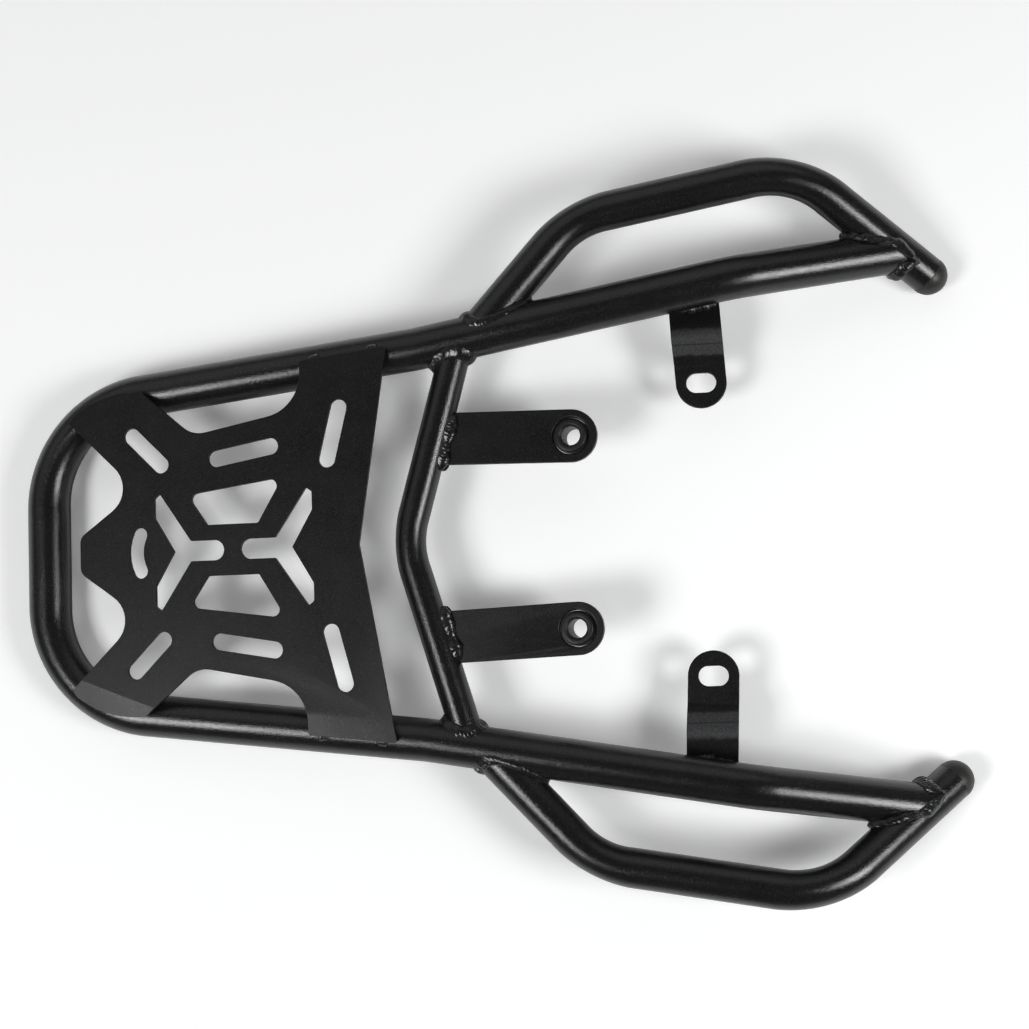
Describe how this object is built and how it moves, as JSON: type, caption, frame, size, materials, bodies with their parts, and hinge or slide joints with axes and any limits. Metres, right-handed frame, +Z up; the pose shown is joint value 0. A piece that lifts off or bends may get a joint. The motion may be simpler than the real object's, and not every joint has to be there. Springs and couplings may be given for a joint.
{
  "type": "motorcycle luggage rack",
  "caption": "Welded tube luggage rack for a motorcycle tail: bent loop, pierced top plate, side grab handles, mounting tabs with sleeves and slotted front brackets.",
  "frame": {"origin": "middle of the bounding box, on the floor that the rack lies on", "axes": "+X forward, from the tail tube to the front ends; +Y to the rider's left; +Z up. The rack lies on its tail tube and on its two domed handle ends, so its plate slopes up to the front."},
  "size_m": [0.5625, 0.4336, 0.0571],
  "materials": {
    "tube": "satin textured powder coat",
    "sheet": "satin textured powder coat",
    "weld_bead": "powder coat over rippled weld",
    "plastic_plug": "matte"
  },
  "bodies": {
    "root": {"main_loop_tube": "tube", "cross_tube": "tube", "left_handle_tube": "tube", "right_handle_tube": "tube", "left_end_plug": "plastic_plug", "right_end_plug": "plastic_plug", "top_plate": "sheet", "left_mounting_tab": "sheet", "right_mounting_tab": "sheet", "left_tab_sleeve": "tube", "right_tab_sleeve": "tube", "left_front_bracket": "sheet", "right_front_bracket": "sheet", "left_handle_rear_weld": "weld_bead", "right_handle_rear_weld": "weld_bead", "left_handle_front_weld": "weld_bead", "right_handle_front_weld": "weld_bead", "left_cross_weld": "weld_bead", "right_cross_weld": "weld_bead", "left_tab_weld": "weld_bead", "right_tab_weld": "weld_bead", "left_bracket_weld": "weld_bead", "right_bracket_weld": "weld_bead", "plate_tack_welds": "weld_bead"}
  },
  "joints": []
}
